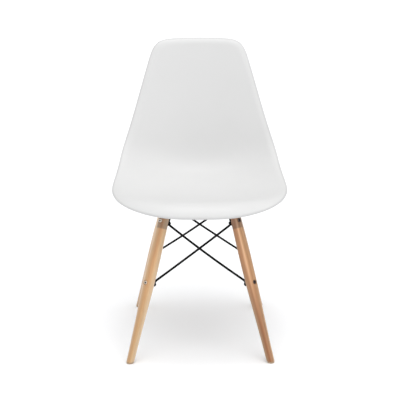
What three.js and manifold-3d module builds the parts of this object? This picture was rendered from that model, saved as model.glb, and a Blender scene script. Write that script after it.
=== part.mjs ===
// Dining chair: a one-piece moulded plastic seat shell, carried by four turned wooden legs that splay
// outwards. Two pressed steel straps cross under the seat and bolt the legs to four bosses of the shell.
// Eight thin steel rods brace the legs, two of them crossing on each of the four sides.
// Millimetres. +Z is up, the sitter faces -Y, and the floor is at z = 0.
import * as THREE from "three";
import { mergeVertices } from "three/addons/utils/BufferGeometryUtils.js";
import Module from "manifold-3d";

const wasm = await Module();
wasm.setup();

// ---------------------------------------------------------------- driving dimensions

const FIT_GAP = 0.3; // between pieces that touch

// Seat shell. Each row of the centre line is [y, z, rise, lean]: where the middle of the seating surface
// runs, how far the surface has risen where it reaches FULL_HALF_WIDTH at that row, and how far that rise
// leans back-to-front from straight up, in degrees.
const CENTRE_LINE = [
  [-269, 442, 3, -4],
  [-213, 438, 6, -4],
  [-158, 430, 12, -2],
  [-104, 422, 20, 0],
  [-50, 417, 29, 3],
  [4, 415, 40, 7],
  [58, 416, 53, 11],
  [110, 422, 67, 18],
  [155, 442, 78, 29],
  [182, 486, 68, 43],
  [195, 539, 55, 56],
  [207, 593, 46, 66],
  [219, 646, 40, 72],
  [231, 699, 36, 75],
  [243, 752, 33, 76],
  [256, 812, 31, 76],
  [269, 872, 29, 76],
];
const FULL_HALF_WIDTH = 235;
const SHELL_SHIFT = 0.945; // in y, so that the chair's depth is centred on the origin
const DISH_POWER = 2.3; // how late the surface turns up towards the sides
// Half of the outline, laid flat: [half width, distance along the centre line from the front edge].
const OUTLINE = [
  [0, 0],
  [72, 0],
  [136, 18],
  [196, 60],
  [228, 125],
  [238, 198],
  [235, 270],
  [230, 335],
  [224, 405],
  [216, 475],
  [201, 545],
  [184, 615],
  [166, 685],
  [148, 750],
  [129, 814],
  [74, 822],
  [0, 823],
];
const FRONT_CORNER = 3.2; // places on the outline, in its rows, where the patch of the shell has corners
const TOP_CORNER = 14;
const SHELL_THICKNESS = 5;
const SHELL_MESH = { across: 20, side: 24, rings: 4 };
// The patch of the underside that the bosses grow out of, in half widths and distances.
const UNDERSIDE = { cells: 16, halfWidth: 104, from: 130, to: 385 };
// The rolled edge: [distance along the centre line, length of the roll, angle that it turns, degrees].
const EDGE_ROLL = [
  [0, 74, 86],
  [26, 62, 75],
  [70, 45, 60],
  [150, 26, 32],
  [700, 22, 34],
  [823, 26, 50],
];
const ROLL_ONSET = 1.4; // above 1, the roll starts gently

// Straps: the two cross at one point in plan, and each runs straight to the legs at its ends.
const STRAP = { width: 26, thickness: 4, topZ: 378, bendRadius: 12, bendSteps: 6 };
const JOGGLE = { inner: 17, outer: 32, drop: 4.3 }; // where the lower strap dips under the upper one

// Mounting bosses under the shell, on the lines of the straps
const BOSS = { fromCentre: 90, radius: 15, bottomZ: 384.3, height: 60, ribs: 6, ribReach: 25 };
const RIB_THICKNESS = 2.6;
const INSERT = { radius: 6, length: 14, bore: 3.3 };
const SPACER = { radius: 14, bore: 4 };

// Legs: the axis runs through the foot on the floor and the bolt at the top.
const LEGS = {
  front: { foot: [187, -224], top: [98, -107] },
  rear: { foot: [186, 225], top: [94, 123] },
};
const TOP_BOLT_Z = 357;
const BOLT_SPACING = 169.4; // from the top bolt down the leg's axis to the middle bolt
const LEG_ABOVE_BOLT = 17;
// Radius of the turned leg at shares of its length.
const LEG_RADII = [
  [0, 10.2],
  [0.12, 10.8],
  [0.32, 12.9],
  [0.5, 15.2],
  [0.68, 16],
  [0.86, 15],
  [1, 14],
];
const LEG_CHAMFER = 1.5;
const FLATS = {
  top: { depth: 8, below: 25 }, // a flat that runs out of the top end of the leg
  mid: { depth: 13, radius: 22 }, // a round spot face
};
const GLIDE = { radius: 9.2, height: 4.5, pinRadius: 2.2, pinLength: 13 };

// Bracing rods
const ROD = { radius: 2.4, lift: 1.2, sides: 8 }; // lift: of the round rod from the middle of its eye
const EYE = { radius: 7, thickness: 2.6, neckHalfWidth: 3.3 };
const ROD_START = [13.6, 8.4]; // from the eye's centre to the round rod, in the inner and the outer layer
const NECK_OVERLAP = 1.4; // of the flattened neck and the round rod
const BEND = [3, 4]; // lengths of the two short runs in which the rod turns to its long run
const BOW_AT = [0.2, 0.5, 0.8]; // shares of the long run where the bow is modelled
const SAG = 2; // how far every rod bows downwards

// Fasteners, M6
const BOLT = { radius: 3, headRadius: 5.2, headHeight: 3.2, socketRadius: 2.3, socketDepth: 2 };
const HOLE_RADIUS = 3.4;
const HEAD_SEAT = 11; // distance of the bolt head's seat from the leg's axis
const HEAD_RECESS = 6.2;
const NUT = { radius: 6.35, hexHeight: 4.8, height: 11.5, domeRadius: 5.2, boreDepth: 8.5, grip: 7.5 };
const RIVET = { radius: 4, headRadius: 8, headHeight: 2.4 };
const ROUND = 12; // sides of small round pieces
const CLEAR = 30; // how far cuts and drill holes reach past what they cut

// ---------------------------------------------------------------- helpers

const vec = (x, y, z) => new THREE.Vector3(x, y, z);
const degrees = THREE.MathUtils.degToRad;
const along = (start, direction, distance) => start.clone().addScaledVector(direction, distance);

function solid(geometry) {
  const bare = geometry.clone();
  bare.deleteAttribute("normal");
  bare.deleteAttribute("uv");
  const merged = mergeVertices(bare, 1e-4);
  return new wasm.Manifold(
    new wasm.Mesh({
      numProp: 3,
      vertProperties: merged.getAttribute("position").array,
      triVerts: new Uint32Array(merged.index.array),
    }),
  );
}

function geometryOf(manifold) {
  const mesh = manifold.getMesh();
  const geometry = new THREE.BufferGeometry();
  geometry.setAttribute("position", new THREE.BufferAttribute(mesh.vertProperties, 3));
  geometry.setIndex(new THREE.BufferAttribute(mesh.triVerts, 1));
  return geometry;
}

// A matrix that takes the local Z axis to a direction through a point, and local X near a given hint.
function frameAt(origin, zDirection, xHint) {
  const z = zDirection.clone().normalize();
  const y = z.clone().cross(xHint ?? (Math.abs(z.z) > 0.9 ? vec(1, 0, 0) : vec(0, 0, 1))).normalize();
  const x = y.clone().cross(z);
  return new THREE.Matrix4().makeBasis(x, y, z).setPosition(origin);
}

// A lathed piece about local Z. The profile's points are [radius, height], from the axis back to the axis
// or closed on itself, counter-clockwise.
function lathe(profile, segments) {
  const points = profile.map(([radius, height]) => new THREE.Vector2(radius, height));
  return new THREE.LatheGeometry(points, segments).rotateX(Math.PI / 2);
}

function rod(radius, from, to, segments = 20) {
  const profile = [
    [0, from],
    [radius, from],
    [radius, to],
    [0, to],
  ];
  return lathe(profile, segments);
}

// Uniform cubic B-spline through its first and last rows; t counts rows.
function bspline(rows) {
  const last = rows.length - 1;
  const mirrored = (end, inner) => rows[end].map((value, i) => 2 * value - rows[inner][i]);
  const row = (i) => (i < 0 ? mirrored(0, 1) : i > last ? mirrored(last, last - 1) : rows[i]);
  return (t) => {
    const i = Math.min(Math.floor(t), last - 1);
    const f = t - i;
    const weights = [
      (1 - f) ** 3 / 6,
      (3 * f ** 3 - 6 * f ** 2 + 4) / 6,
      (-3 * f ** 3 + 3 * f ** 2 + 3 * f + 1) / 6,
      f ** 3 / 6,
    ];
    return rows[0].map((_, k) => weights.reduce((sum, w, j) => sum + w * row(i - 1 + j)[k], 0));
  };
}

// Straight-line look-up of the columns after the first, by the value of the first.
function lookUp(rows, x) {
  const i = Math.max(1, rows.findIndex((r, k) => k > 0 && (x <= r[0] || k === rows.length - 1)));
  const f = THREE.MathUtils.clamp((x - rows[i - 1][0]) / (rows[i][0] - rows[i - 1][0]), 0, 1);
  return rows[i].slice(1).map((value, k) => rows[i - 1][k + 1] * (1 - f) + value * f);
}

// Places evenly spaced by length between two parameters of a plane curve, ends included.
function evenly(curve, from, to, count) {
  const fine = 40 * count;
  const at = (i) => from + ((to - from) * i) / fine;
  const lengths = [[0, at(0)]];
  for (let i = 1; i <= fine; i++) {
    const [a, b] = [curve(at(i - 1)), curve(at(i))];
    lengths.push([lengths[i - 1][0] + Math.hypot(b[0] - a[0], b[1] - a[1]), at(i)]);
  }
  const total = lengths[fine][0];
  return Array.from({ length: count + 1 }, (_, i) => curve(lookUp(lengths, (total * i) / count)[0]));
}

// ---------------------------------------------------------------- seat shell

// The seating surface before its edge is rolled, at a half width u and a distance s along the centre line.
const centreLine = bspline(CENTRE_LINE);
const centreSteps = 600;
const centreLengths = [[0, 0]];
for (let i = 1; i <= centreSteps; i++) {
  const last = CENTRE_LINE.length - 1;
  const [a, b] = [centreLine(((i - 1) / centreSteps) * last), centreLine((i / centreSteps) * last)];
  const step = Math.hypot(b[0] - a[0], b[1] - a[1]);
  centreLengths.push([centreLengths[i - 1][0] + step, (i / centreSteps) * last]);
}

function dish(u, s) {
  const [y, z, rise, lean] = centreLine(lookUp(centreLengths, s)[0]);
  const lift = rise * (Math.abs(u) / FULL_HALF_WIDTH) ** DISH_POWER;
  return vec(u, y + SHELL_SHIFT - Math.sin(degrees(lean)) * lift, z + Math.cos(degrees(lean)) * lift);
}

function dishNormal(u, s) {
  const step = 1.5;
  const across = dish(u + step, s).sub(dish(u - step, s));
  const forward = dish(u, s + step).sub(dish(u, Math.max(0, s - step)));
  return across.cross(forward).normalize();
}

// The roll at one place of the outline: for each ring, how far inside the edge it lies and how deep.
function rollRings(s, rings) {
  const [length, turn] = lookUp(EDGE_ROLL, s);
  const steps = 24;
  const inside = [0];
  const depth = [0];
  for (let i = 0; i < rings * steps; i++) {
    const angle = degrees(turn) * ((i + 0.5) / (rings * steps)) ** ROLL_ONSET;
    inside.push(inside[i] + (Math.cos(angle) * length) / (rings * steps));
    depth.push(depth[i] + (Math.sin(angle) * length) / (rings * steps));
  }
  const reach = inside[rings * steps];
  return Array.from({ length: rings + 1 }, (_, k) => [reach - inside[k * steps], depth[k * steps]]);
}

// The closed outline as points [u, s], counter-clockwise from the left front corner.
function outlinePoints(acrossCount, sideCount) {
  const curve = bspline(OUTLINE);
  const last = OUTLINE.length - 1;
  const front = evenly(curve, 0, FRONT_CORNER, acrossCount / 2);
  const side = evenly(curve, FRONT_CORNER, TOP_CORNER, sideCount);
  const top = evenly(curve, TOP_CORNER, last, acrossCount / 2);
  const right = [...front, ...side.slice(1), ...top.slice(1)];
  const left = right.slice(1, -1).reverse().map(([u, s]) => [-u, s]);
  const ring = [...right, ...left];
  const start = ring.length - acrossCount / 2;
  return [...ring.slice(start), ...ring.slice(0, start)];
}

// The seating surface as rows of vertices: rings from the edge inwards, then a patch that fills the middle.
function seatingSurface(acrossCount, sideCount, rings) {
  const outline = outlinePoints(acrossCount, sideCount);
  const count = outline.length;
  const points = [];
  const triangles = [];
  const quad = (a, b, c, d) => triangles.push(a, b, c, a, c, d);
  const inner = [];
  const levels = Array.from({ length: rings + 1 }, () => []);
  outline.forEach(([u, s], j) => {
    const [before, after] = [outline[(j + count - 1) % count], outline[(j + 1) % count]];
    const [du, ds] = [after[0] - before[0], after[1] - before[1]];
    const length = Math.hypot(du, ds);
    rollRings(s, rings).forEach(([inside, depth], k) => {
      const [ui, si] = [u - (ds / length) * inside, s + (du / length) * inside];
      if (k === 0) inner[j] = [ui, si];
      levels[k][j] = points.length;
      points.push(dish(ui, si).addScaledVector(dishNormal(ui, si), -depth));
    });
  });
  for (let k = 0; k < rings; k++)
    for (let j = 0; j < count; j++) {
      const next = (j + 1) % count;
      quad(levels[k + 1][j], levels[k + 1][next], levels[k][next], levels[k][j]);
    }
  // Coons patch between the four sides of the innermost ring.
  const [a, b] = [acrossCount, sideCount];
  const at = (j) => inner[j % count];
  const grid = [];
  for (let r = 0; r <= b; r++) {
    grid[r] = [];
    for (let c = 0; c <= a; c++) {
      const frontOrRight = r === 0 ? c : c === a ? a + r : -1;
      const topOrLeft = r === b ? 2 * a + b - c : c === 0 ? (count - r) % count : -1;
      const onEdge = frontOrRight >= 0 ? frontOrRight : topOrLeft;
      if (onEdge >= 0) {
        grid[r][c] = levels[0][onEdge % count];
        continue;
      }
      const [x, y] = [c / a, r / b];
      const [front, right, top, left] = [at(c), at(a + r), at(2 * a + b - c), at(count - r)];
      const corners = [at(0), at(a), at(a + b), at(2 * a + b)];
      const blend = (i) =>
        (1 - y) * front[i] + y * top[i] + (1 - x) * left[i] + x * right[i] -
        ((1 - x) * (1 - y) * corners[0][i] + x * (1 - y) * corners[1][i]) -
        (x * y * corners[2][i] + (1 - x) * y * corners[3][i]);
      grid[r][c] = points.length;
      points.push(dish(blend(0), blend(1)));
    }
  }
  for (let r = 0; r < b; r++)
    for (let c = 0; c < a; c++) quad(grid[r][c], grid[r][c + 1], grid[r + 1][c + 1], grid[r + 1][c]);
  return { points, triangles, rim: levels[rings] };
}

// A closed shell of even thickness below the seating surface.
function shellSolid() {
  const { points, triangles, rim } = seatingSurface(SHELL_MESH.across, SHELL_MESH.side, SHELL_MESH.rings);
  const top = new THREE.BufferGeometry().setFromPoints(points);
  top.setIndex(triangles);
  top.computeVertexNormals();
  const normals = top.getAttribute("normal");
  const normalAt = (i) => vec(0, 0, 0).fromBufferAttribute(normals, i);
  const under = points.map((p, i) => along(p, normalAt(i), -SHELL_THICKNESS));
  const faces = [...triangles];
  const offset = points.length;
  for (let i = 0; i < triangles.length; i += 3)
    faces.push(triangles[i] + offset, triangles[i + 2] + offset, triangles[i + 1] + offset);
  rim.forEach((a, j) => {
    const b = rim[(j + 1) % rim.length];
    faces.push(a, a + offset, b + offset, a, b + offset, b);
  });
  const closed = new THREE.BufferGeometry().setFromPoints([...points, ...under]);
  closed.setIndex(faces);
  return solid(closed);
}

// ---------------------------------------------------------------- straps, bosses and legs

const UP = vec(0, 0, 1);
const frontTop = LEGS.front.top;
const rearTop = LEGS.rear.top;
// The straps' crossing point lies on the centre plane.
const crossShare = frontTop[0] / (frontTop[0] + rearTop[0]);
const crossing = vec(0, frontTop[1] + (rearTop[1] - frontTop[1]) * crossShare, 0);

// Everything that follows from where a leg stands. Left and right are as seen from in front: left is -X.
const corners = [];
for (const end of ["front", "rear"])
  for (const side of ["left", "right"]) {
    const sign = side === "left" ? -1 : 1;
    const foot = vec(sign * LEGS[end].foot[0], LEGS[end].foot[1], 0);
    const bolt = vec(sign * LEGS[end].top[0], LEGS[end].top[1], TOP_BOLT_Z);
    const axis = bolt.clone().sub(foot).normalize();
    const inward = crossing.clone().sub(vec(bolt.x, bolt.y, 0)).normalize();
    // Square to the leg's axis, in the upright plane of the strap.
    const facing = inward.clone().multiplyScalar(axis.z).addScaledVector(UP, -inward.dot(axis)).normalize();
    const midBolt = along(bolt, axis, -BOLT_SPACING);
    corners.push({ name: `${end}_${side}`, end, side, foot, bolt, midBolt, axis, inward, facing });
  }
const corner = (end, side) => corners.find((c) => c.end === end && c.side === side);

const placed = (geometry, origin, direction, hint) =>
  solid(geometry.applyMatrix4(frameAt(origin, direction, hint)));
const union = (pieces) => pieces.reduce((sum, piece) => sum.add(piece));
const drill = (origin, direction, radius, from, to) =>
  placed(rod(radius, from, to, ROUND), origin, direction);

// The centre line of one end of a strap, from the middle outwards, as [distance in plan, z].
function strapEnd(c, drop) {
  const level = STRAP.topZ - STRAP.thickness / 2;
  const tab = along(c.bolt, c.facing, FLATS.top.depth + FIT_GAP + STRAP.thickness / 2);
  const bolt = [Math.hypot(tab.x - crossing.x, tab.y - crossing.y), tab.z];
  const down = [-c.facing.z, -Math.hypot(c.facing.x, c.facing.y)]; // outwards and down along the tab
  const rise = (level - bolt[1]) / down[1];
  const bend = [bolt[0] + down[0] * rise, level];
  const turn = Math.atan2(-down[1], down[0]);
  const tangent = STRAP.bendRadius * Math.tan(turn / 2);
  const arc = Array.from({ length: STRAP.bendSteps + 1 }, (_, i) => {
    const angle = (turn * i) / STRAP.bendSteps;
    return [
      bend[0] - tangent + STRAP.bendRadius * Math.sin(angle),
      level - STRAP.bendRadius * (1 - Math.cos(angle)),
    ];
  });
  const end = STRAP.width / 2;
  const dip = drop ? [[JOGGLE.inner, level - drop], [JOGGLE.outer, level]] : [];
  return [...dip, ...arc, [bolt[0] + down[0] * end, bolt[1] + down[1] * end]];
}

// A flat bar of the straps' section along a line in an upright plane.
function bar(line, direction) {
  const side = (offset) =>
    line.map(([r, z], i) => {
      const [a, b] = [line[Math.max(0, i - 1)], line[Math.min(line.length - 1, i + 1)]];
      const toHere = i > 0 ? Math.atan2(z - a[1], r - a[0]) : Math.atan2(b[1] - z, b[0] - r);
      const fromHere = i < line.length - 1 ? Math.atan2(b[1] - z, b[0] - r) : toHere;
      const angle = (toHere + fromHere) / 2;
      const miter = offset / Math.cos((fromHere - toHere) / 2);
      return new THREE.Vector2(r - Math.sin(angle) * miter, z + Math.cos(angle) * miter);
    });
  const shape = new THREE.Shape([...side(-STRAP.thickness / 2), ...side(STRAP.thickness / 2).reverse()]);
  const extruded = new THREE.ExtrudeGeometry(shape, { depth: STRAP.width, bevelEnabled: false });
  extruded.translate(0, 0, -STRAP.width / 2);
  const basis = new THREE.Matrix4().makeBasis(direction, UP, direction.clone().cross(UP));
  return solid(extruded.applyMatrix4(basis.setPosition(crossing)));
}

function strap(c, opposite, drop) {
  const outward = c.inward.clone().negate();
  const mirrored = strapEnd(opposite, drop).map(([r, z]) => [-r, z]).reverse();
  let body = bar([...mirrored, ...strapEnd(c, drop)], outward);
  for (const tab of [c, opposite]) {
    // Round the end of the tab about its bolt.
    const depth = [FLATS.top.depth, FLATS.top.depth + 2 * STRAP.thickness];
    const reach = STRAP.width;
    const block = new THREE.BoxGeometry(reach, 2 * reach, depth[1] - depth[0]);
    block.translate(-reach / 2, 0, (depth[0] + depth[1]) / 2);
    const round = rod(STRAP.width / 2, depth[0] - 1, depth[1] + 1, 2 * ROUND);
    const waste = placed(block, tab.bolt, tab.facing).subtract(placed(round, tab.bolt, tab.facing));
    body = body.subtract(waste).subtract(drill(tab.bolt, tab.facing, HOLE_RADIUS, depth[0], depth[1]));
    body = body.subtract(drill(bossCentre(tab), UP, HOLE_RADIUS, STRAP.topZ - CLEAR, STRAP.topZ + CLEAR));
  }
  return body.subtract(drill(crossing, UP, RIVET.radius + FIT_GAP, STRAP.topZ - CLEAR, STRAP.topZ + CLEAR));
}

const bossCentre = (c) => along(crossing, c.inward, -BOSS.fromCentre);

// The space below the middle of the shell's thickness, around the bosses.
function belowSeat() {
  const { cells, halfWidth, from, to } = UNDERSIDE;
  const top = [];
  for (let r = 0; r <= cells; r++)
    for (let c = 0; c <= cells; c++) {
      const [u, s] = [halfWidth * ((2 * c) / cells - 1), from + ((to - from) * r) / cells];
      top.push(along(dish(u, s), dishNormal(u, s), -SHELL_THICKNESS / 2));
    }
  const count = top.length;
  const bottom = top.map((p) => vec(p.x, p.y, BOSS.bottomZ));
  const at = (r, c) => r * (cells + 1) + c;
  const faces = [];
  const wall = (a, b) => faces.push(b, a, a + count, b, a + count, b + count);
  for (let r = 0; r < cells; r++)
    for (let c = 0; c < cells; c++) {
      const [a, b, d, e] = [at(r, c), at(r, c + 1), at(r + 1, c + 1), at(r + 1, c)];
      faces.push(a, b, d, a, d, e, a + count, d + count, b + count, a + count, e + count, d + count);
    }
  for (let i = 0; i < cells; i++) {
    wall(at(0, i), at(0, i + 1));
    wall(at(i, cells), at(i + 1, cells));
    wall(at(cells, i + 1), at(cells, i));
    wall(at(i + 1, 0), at(i, 0));
  }
  const block = new THREE.BufferGeometry().setFromPoints([...top, ...bottom]);
  block.setIndex(faces);
  return solid(block);
}

// A round boss with tapering ribs, bored for its insert, trimmed to the underside of the shell.
function boss(c, limit) {
  const height = BOSS.height; // trimmed by the shell
  const centre = bossCentre(c).setZ(BOSS.bottomZ);
  const pieces = [placed(rod(BOSS.radius, 0, height, 2 * ROUND), centre, UP)];
  for (let i = 0; i < BOSS.ribs; i++) {
    const outer = [[BOSS.radius, 0], [BOSS.ribReach, height / 2], [BOSS.ribReach, height]];
    const profile = [[0, 0], ...outer, [0, height]];
    const shape = new THREE.Shape(profile.map(([x, y]) => new THREE.Vector2(x, y)));
    const rib = new THREE.ExtrudeGeometry(shape, { depth: RIB_THICKNESS, bevelEnabled: false });
    rib.translate(0, 0, -RIB_THICKNESS / 2).rotateX(Math.PI / 2).rotateZ((2 * Math.PI * i) / BOSS.ribs);
    pieces.push(solid(rib.translate(centre.x, centre.y, centre.z)));
  }
  const bore = INSERT.length + 2 * FIT_GAP;
  const hole = placed(rod(INSERT.radius + FIT_GAP, -1, bore, ROUND), centre, UP);
  return union(pieces).intersect(limit).subtract(hole);
}

function leg(c) {
  const length = c.bolt.distanceTo(c.foot) + LEG_ABOVE_BOLT;
  const topRadius = LEG_RADII[LEG_RADII.length - 1][1];
  const profile = LEG_RADII.slice(0, -1).map(([share, radius]) => [radius, share * length]);
  profile.unshift([0, -GLIDE.radius], [LEG_RADII[0][1], -GLIDE.radius]);
  profile.push([topRadius, length - LEG_CHAMFER], [topRadius - LEG_CHAMFER, length], [0, length]);
  let body = placed(lathe(profile, 2 * ROUND), c.foot, c.axis);
  body = body.trimByPlane([0, 0, 1], GLIDE.height + FIT_GAP);
  const flat = new THREE.BoxGeometry(FLATS.top.below + 2 * LEG_ABOVE_BOLT, 2 * CLEAR, CLEAR);
  flat.translate(LEG_ABOVE_BOLT - FLATS.top.below / 2, 0, FLATS.top.depth + CLEAR / 2);
  body = body.subtract(placed(flat, c.bolt, c.facing, c.axis));
  const spot = rod(FLATS.mid.radius, FLATS.mid.depth, CLEAR, 2 * ROUND);
  body = body.subtract(placed(spot, c.midBolt, c.facing, c.axis));
  for (const bolt of [c.bolt, c.midBolt]) {
    body = body.subtract(drill(bolt, c.facing, HOLE_RADIUS, -CLEAR, CLEAR));
    body = body.subtract(drill(bolt, c.facing, HEAD_RECESS, -CLEAR, -HEAD_SEAT));
  }
  const pinHole = rod(GLIDE.pinRadius + FIT_GAP, 0, GLIDE.height + GLIDE.pinLength + FIT_GAP, ROUND);
  return body.subtract(placed(pinHole, c.foot, c.axis));
}

function glide(c) {
  const pad = placed(rod(GLIDE.radius, 0, GLIDE.height, 2 * ROUND), c.foot, UP);
  const pin = rod(GLIDE.pinRadius, GLIDE.height / 2, GLIDE.height + GLIDE.pinLength, ROUND);
  return pad.add(placed(pin, c.foot, c.axis));
}

// ---------------------------------------------------------------- rods

// Distances of the eyes' middles from the leg's axis: the side rods lie against the leg, and the front
// and rear rods over them.
const layer = (seat, index) => seat + FIT_GAP + EYE.thickness / 2 + index * (EYE.thickness + FIT_GAP);
const topSeat = FLATS.top.depth + FIT_GAP + STRAP.thickness;
const eyeAt = {
  top: (c, index) => along(c.bolt, c.facing, layer(topSeat, index)),
  mid: (c, index) => along(c.midBolt, c.facing, layer(FLATS.mid.depth, index)),
};

// A round bar along a chain of points, closed at both ends.
function sweep(points, radius, sides) {
  const rings = [];
  let across = null;
  points.forEach((point, i) => {
    const before = points[Math.max(0, i - 1)];
    const after = points[Math.min(points.length - 1, i + 1)];
    const into = point.clone().sub(before).normalize();
    const tangent = into.add(after.clone().sub(point).normalize()).normalize();
    across = (across ?? UP.clone()).projectOnPlane(tangent).normalize();
    const other = tangent.clone().cross(across);
    for (let k = 0; k < sides; k++) {
      const angle = (2 * Math.PI * k) / sides;
      rings.push(along(along(point, across, radius * Math.cos(angle)), other, radius * Math.sin(angle)));
    }
  });
  const faces = [];
  const last = (points.length - 1) * sides;
  for (let k = 0; k < sides; k++) {
    const next = (k + 1) % sides;
    for (let i = 0; i < last; i += sides) {
      const beyond = i + sides;
      faces.push(i + k, i + next, beyond + next, i + k, beyond + next, beyond + k);
    }
    if (k > 0 && k < sides - 1) faces.push(0, k + 1, k, last, last + k, last + k + 1);
  }
  const geometry = new THREE.BufferGeometry().setFromPoints(rings);
  geometry.setIndex(faces);
  return solid(geometry);
}

// A rod from the top of one leg to the middle of another, flattened into an eye at each end.
function braceRod(high, low, index, bow) {
  const ends = [
    { eye: eyeAt.top(high, index), normal: high.facing },
    { eye: eyeAt.mid(low, index), normal: low.facing },
  ];
  const half = EYE.thickness / 2;
  for (const [i, end] of ends.entries()) {
    const run = ends[1 - i].eye.clone().sub(end.eye).normalize();
    const neck = run.clone().projectOnPlane(end.normal).normalize();
    const neckLength = ROD_START[index] + NECK_OVERLAP;
    const box = new THREE.BoxGeometry(neckLength, 2 * EYE.neckHalfWidth, EYE.thickness);
    box.translate(neckLength / 2, 0, 0);
    const ring = placed(rod(EYE.radius, -half, half, ROUND), end.eye, end.normal);
    const hole = drill(end.eye, end.normal, HOLE_RADIUS, -EYE.thickness, EYE.thickness);
    end.solid = ring.add(placed(box, end.eye, end.normal, neck)).subtract(hole);
    const start = along(along(end.eye, end.normal, ROD.lift), neck, ROD_START[index]);
    const bend = along(start, neck, BEND[0]);
    end.path = [start, bend, along(bend, neck.add(run).normalize(), BEND[1])];
  }
  const [from, to] = ends.map((end) => end.path[2]);
  const middle = BOW_AT.map((t) => along(from.clone().lerp(to, t), bow, 4 * t * (1 - t)));
  const line = [...ends[0].path, ...middle, ...ends[1].path.reverse()];
  return union([sweep(line, ROD.radius, ROD.sides), ends[0].solid, ends[1].solid]);
}

// ---------------------------------------------------------------- fasteners

// About local Z, with the head above z = 0 and a six-sided socket in it.
function boltGeometry(length) {
  const { headRadius } = BOLT;
  const profile = [
    [0, -length],
    [BOLT.radius, -length],
    [BOLT.radius, 0],
    [headRadius, 0],
    [headRadius, BOLT.headHeight * 0.6],
    [headRadius * 0.8, BOLT.headHeight],
    [0, BOLT.headHeight],
  ];
  return lathe(profile, ROUND);
}

function bolt(seat, outwards, length) {
  const depth = BOLT.headHeight - BOLT.socketDepth;
  const socket = rod(BOLT.socketRadius, depth, BOLT.headHeight + 1, 6);
  return placed(boltGeometry(length), seat, outwards).subtract(placed(socket, seat, outwards));
}

// A closed nut: six flats from its seat at z = 0, and a dome.
function domeNut(seat, outwards) {
  const dome = [
    [0, 0],
    [NUT.domeRadius, 0],
    [NUT.domeRadius, NUT.height - NUT.domeRadius * 0.6],
    [NUT.domeRadius * 0.72, NUT.height - NUT.domeRadius * 0.18],
    [0, NUT.height],
  ];
  const hexagon = placed(rod(NUT.radius, 0, NUT.hexHeight, 6), seat, outwards);
  const body = placed(lathe(dome, ROUND), seat, outwards).add(hexagon);
  return body.subtract(drill(seat, outwards, BOLT.radius + FIT_GAP, -1, NUT.boreDepth));
}

function tube(radius, bore, height, base) {
  const outer = placed(rod(radius, 0, height, ROUND), base, UP);
  return outer.subtract(placed(rod(bore, -1, height + 1, ROUND), base, UP));
}

function rivet() {
  const top = STRAP.topZ + FIT_GAP;
  const bottom = STRAP.topZ - STRAP.thickness - JOGGLE.drop - FIT_GAP;
  const head = RIVET.headHeight;
  const profile = [
    [0, bottom - head],
    [RIVET.headRadius * 0.7, bottom - head],
    [RIVET.headRadius, bottom],
    [RIVET.radius, bottom],
    [RIVET.radius, top],
    [RIVET.headRadius, top],
    [RIVET.headRadius * 0.7, top + head],
    [0, top + head],
  ];
  return placed(lathe(profile, ROUND), crossing, UP);
}

// ---------------------------------------------------------------- assembly

const finish = (color, roughness, metalness) => () =>
  new THREE.MeshStandardMaterial({ color, roughness, metalness });
const plastic = finish(0xeeeeec, 0.45, 0);
const beech = finish(0xc59468, 0.5, 0);
const blackSteel = finish(0x111111, 0.4, 0.3);
const brightSteel = finish(0xb8b8b8, 0.3, 1);
const brass = finish(0xb09050, 0.4, 1);
const rubber = finish(0x1c1c1c, 0.8, 0);
const nylon = finish(0x8a8a86, 0.6, 0);

const chair = new THREE.Group();
function place(name, manifold, material) {
  const mesh = new THREE.Mesh(geometryOf(manifold), material());
  mesh.name = name;
  chair.add(mesh);
}

const limit = belowSeat();
place("seat_shell", union([shellSolid(), ...corners.map((c) => boss(c, limit))]), plastic);

place("strap_upper", strap(corner("front", "left"), corner("rear", "right"), 0), blackSteel);
place("strap_lower", strap(corner("front", "right"), corner("rear", "left"), JOGGLE.drop), blackSteel);
place("strap_rivet", rivet(), brightSteel);

const strapBottom = STRAP.topZ - STRAP.thickness;
for (const c of corners) {
  const centre = bossCentre(c);
  const insertBase = centre.clone().setZ(BOSS.bottomZ + FIT_GAP);
  const spacerHeight = BOSS.bottomZ - STRAP.topZ - 2 * FIT_GAP;
  place(`seat_insert_${c.name}`, tube(INSERT.radius, INSERT.bore, INSERT.length, insertBase), brass);
  const spacerBase = centre.clone().setZ(STRAP.topZ + FIT_GAP);
  place(`seat_spacer_${c.name}`, tube(SPACER.radius, SPACER.bore, spacerHeight, spacerBase), rubber);
  const seatBolt = centre.clone().setZ(strapBottom - FIT_GAP);
  const boltLength = insertBase.z + INSERT.length - strapBottom - 1;
  place(`seat_bolt_${c.name}`, bolt(seatBolt, vec(0, 0, -1), boltLength), brightSteel);

  place(`leg_${c.name}`, leg(c), beech);
  place(`glide_${c.name}`, glide(c), nylon);

  const outwards = c.facing.clone().negate();
  const seats = { top: [c.bolt, topSeat], mid: [c.midBolt, FLATS.mid.depth] };
  for (const [level, [centreOfHole, clamped]] of Object.entries(seats)) {
    const nutSeat = layer(clamped, 1) + EYE.thickness / 2 + FIT_GAP;
    const headSeat = along(centreOfHole, outwards, HEAD_SEAT + FIT_GAP);
    const shank = HEAD_SEAT + FIT_GAP + nutSeat + NUT.grip;
    place(`${level}_bolt_${c.name}`, bolt(headSeat, outwards, shank), brightSteel);
    place(`${level}_nut_${c.name}`, domeNut(along(centreOfHole, c.facing, nutSeat), c.facing), blackSteel);
  }
}

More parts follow.
